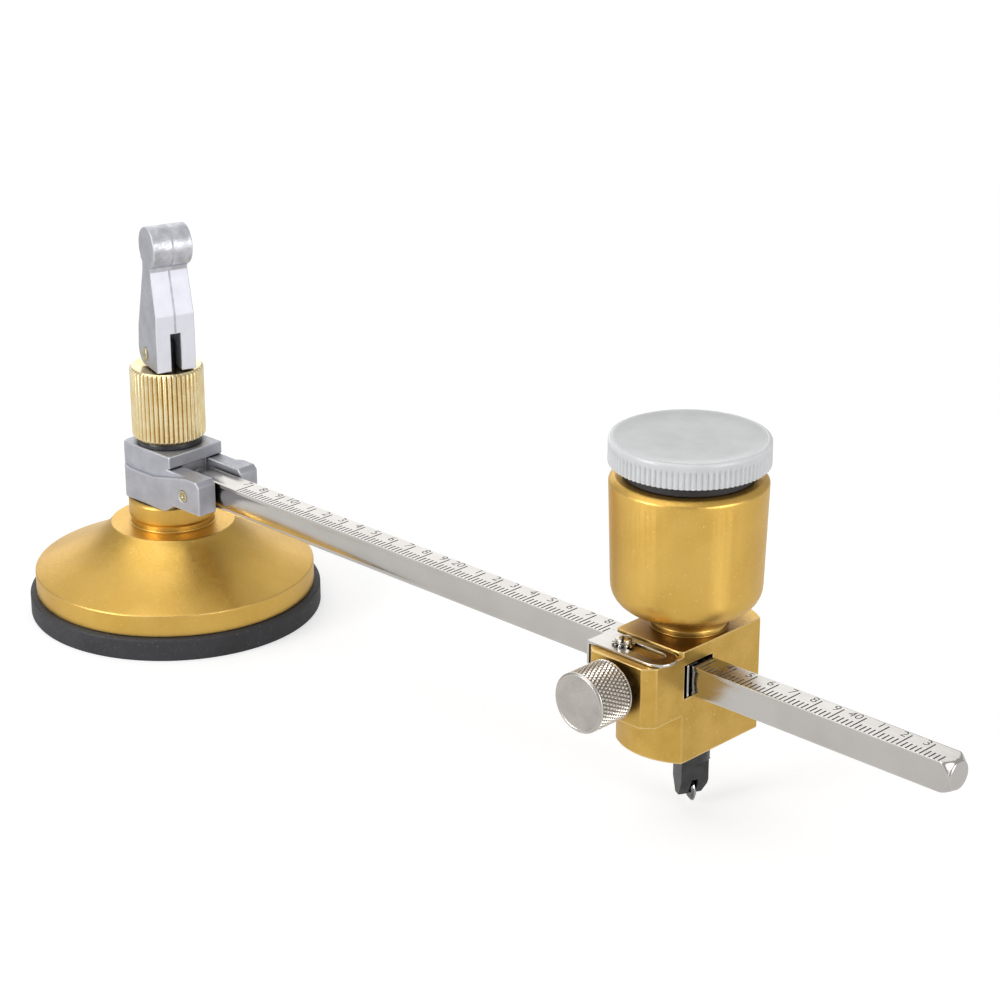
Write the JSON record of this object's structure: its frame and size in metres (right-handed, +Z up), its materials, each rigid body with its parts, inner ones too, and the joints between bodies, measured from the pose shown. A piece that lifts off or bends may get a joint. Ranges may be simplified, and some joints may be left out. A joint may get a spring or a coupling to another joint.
{
  "type": "glass circle cutter",
  "caption": "Glass circle cutter: a suction base with a cam lever, a swivelling square scale rod and a sliding head with an oil reservoir, thumb screw, pointer and cutting wheel.",
  "frame": {"origin": "centre of the flat suction face, on the upright axis of the base", "axes": "+X along the scale rod from the base towards the cutting head, +Z up out of the suction face"},
  "size_m": [0.2447, 0.0648, 0.0887],
  "materials": {
    "rubber": "matte moulded rubber",
    "gold_paint": "satin gold paint on a casting",
    "brass": "turned and polished",
    "zinc": "satin die-cast zinc alloy",
    "nickel": "nickel plated",
    "dark_steel": "blackened",
    "black_plastic": "matte moulded",
    "white_plastic": "slightly translucent moulded",
    "wick": "felted cotton"
  },
  "bodies": {
    "base": {"suction_pad": "rubber", "base_cover": "gold_paint", "centre_post": "brass", "friction_washer": "black_plastic"},
    "stud": {"anchor_disc": "nickel", "pull_stud": "dark_steel", "lever_pin": "brass"},
    "lever": {"cam_lever": "zinc"},
    "sleeve": {"knurled_sleeve": "brass"},
    "swivel": {"swivel_block": "zinc", "fork_pin": "brass"},
    "arm": {"scale_rod": "nickel"},
    "head": {"cutter_body": "gold_paint", "oil_reservoir": "gold_paint", "oil_tube": "brass", "oil_wick": "wick"},
    "seal": {"cap_seal": "rubber"},
    "cap": {"reservoir_cap": "white_plastic"},
    "leaf": {"clamp_leaf": "nickel"},
    "clamp_screw": {"thumb_screw": "nickel"},
    "pointer": {"pointer_plate": "nickel"},
    "pointer_bolt": {"pointer_screw": "nickel", "pointer_washer": "nickel"},
    "holder": {"cutter_holder": "black_plastic", "wheel_axle": "nickel"},
    "wheel": {"cutter_wheel": "nickel"}
  },
  "joints": [
    {"name": "stud_lift", "type": "slide", "parent": "base", "child": "stud", "axis": [0, 0, 1], "range_m": [0, 0.0015], "deforming": ["suction_pad"]},
    {"name": "lever_throw", "type": "hinge", "parent": "stud", "child": "lever", "pos_m": [-0.00038, 0.00012, 0.0595], "axis": [-0.309, -0.9511, 0], "range_deg": [0, 90]},
    {"name": "sleeve_turn", "type": "hinge", "parent": "base", "child": "sleeve", "pos_m": [0, 0, 0.04], "axis": [0, 0, 1], "continuous": true},
    {"name": "arm_swivel", "type": "hinge", "parent": "base", "child": "swivel", "pos_m": [0, 0, 0.0263], "axis": [0, 0, 1], "continuous": true},
    {"name": "arm_tilt", "type": "hinge", "parent": "swivel", "child": "arm", "pos_m": [0.0141, 0, 0.0316], "axis": [0, -1, 0], "range_deg": [-3, 25]},
    {"name": "head_slide", "type": "slide", "parent": "arm", "child": "head", "axis": [1, 0, 0], "range_m": [-0.1, 0.05]},
    {"name": "cap_lift", "type": "slide", "parent": "head", "child": "seal", "axis": [0, 0, 1], "range_m": [0, 0.006]},
    {"name": "cap_turn", "type": "hinge", "parent": "seal", "child": "cap", "pos_m": [0.1451, 0.0055, 0.0704], "axis": [0, 0, 1], "range_deg": [0, 1080]},
    {"name": "leaf_slide", "type": "slide", "parent": "head", "child": "leaf", "axis": [0, -1, 0], "range_m": [-0.00038889, 0.00048611]},
    {"name": "clamp_turn", "type": "hinge", "parent": "leaf", "child": "clamp_screw", "pos_m": [0.1456, 0, 0.0316], "axis": [0, -1, 0], "range_deg": [-200, 250]},
    {"name": "pointer_slide", "type": "slide", "parent": "head", "child": "pointer", "axis": [1, 0, 0], "range_m": [-0.008, 0]},
    {"name": "pointer_bolt_turn", "type": "hinge", "parent": "head", "child": "pointer_bolt", "pos_m": [0.1427, -0.0093, 0.038], "axis": [0, 0, 1], "range_deg": [0, 360]},
    {"name": "holder_swivel", "type": "hinge", "parent": "head", "child": "holder", "pos_m": [0.1464, 0.0067, 0.015], "axis": [0, 0, 1], "continuous": true},
    {"name": "wheel_spin", "type": "hinge", "parent": "holder", "child": "wheel", "pos_m": [0.1464, 0.0067, 0.003], "axis": [0.4384, 0.8988, 0], "continuous": true}
  ],
  "couplings": [
    {"joint": "lever_throw", "follows": "stud_lift", "rad_per_m": 1047.2},
    {"joint": "cap_turn", "follows": "cap_lift", "rad_per_m": 3141.6},
    {"joint": "clamp_turn", "follows": "leaf_slide", "rad_per_m": 8976}
  ]
}
